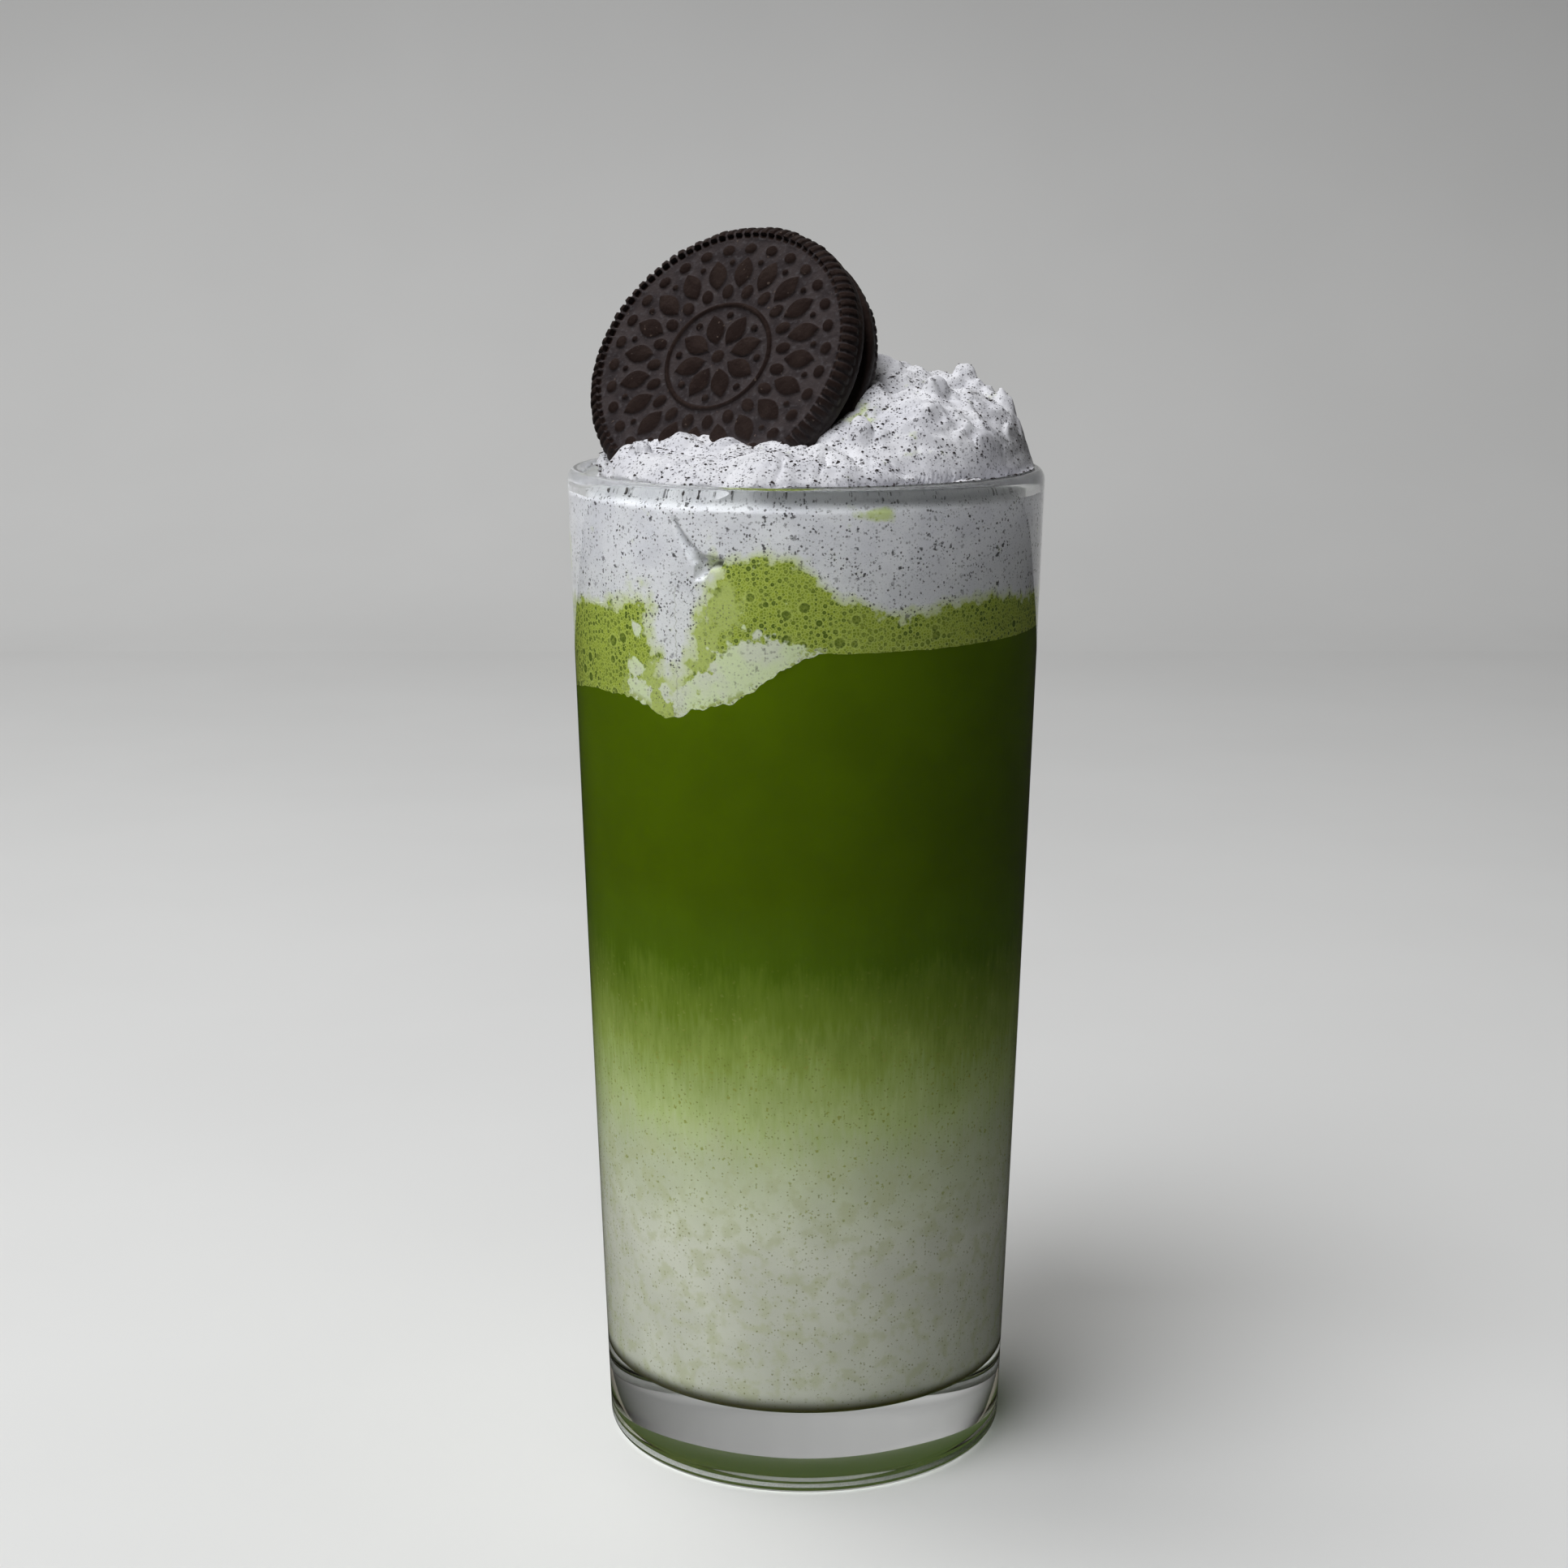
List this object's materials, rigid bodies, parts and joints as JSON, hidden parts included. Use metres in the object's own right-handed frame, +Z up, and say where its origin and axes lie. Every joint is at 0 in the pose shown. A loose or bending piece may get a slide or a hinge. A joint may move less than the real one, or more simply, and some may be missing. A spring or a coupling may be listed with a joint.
{
  "type": "iced matcha latte in a glass",
  "caption": "Tall tapered clear glass of layered milk, matcha and green foam, heaped with speckled whipped cream, a round chocolate sandwich cookie standing in the cream.",
  "frame": {"origin": "on the glass's axis, on the table under the foot ring", "axes": "+Z up along the glass's axis, -Y towards the viewer of the picture, +X to the viewer's right"},
  "size_m": [0.07, 0.07, 0.1829],
  "materials": {
    "clear_glass": "smooth clear pressed glass",
    "milk": "milk tinted green, seen through the glass",
    "matcha": "deep green matcha, seen through the glass",
    "matcha_foam": "bright green foam full of small bubbles",
    "cookies_and_cream": "whipped cream with dark cookie crumbs",
    "chocolate_wafer": "dry dark chocolate wafer, dusty in the recesses",
    "filling": "matt sugar cream"
  },
  "bodies": {
    "root": {"glass": "clear_glass", "milk": "milk", "matcha": "matcha", "foam": "matcha_foam", "cream": "cookies_and_cream", "wafer_front": "chocolate_wafer", "filling": "filling", "wafer_back": "chocolate_wafer"}
  },
  "joints": []
}
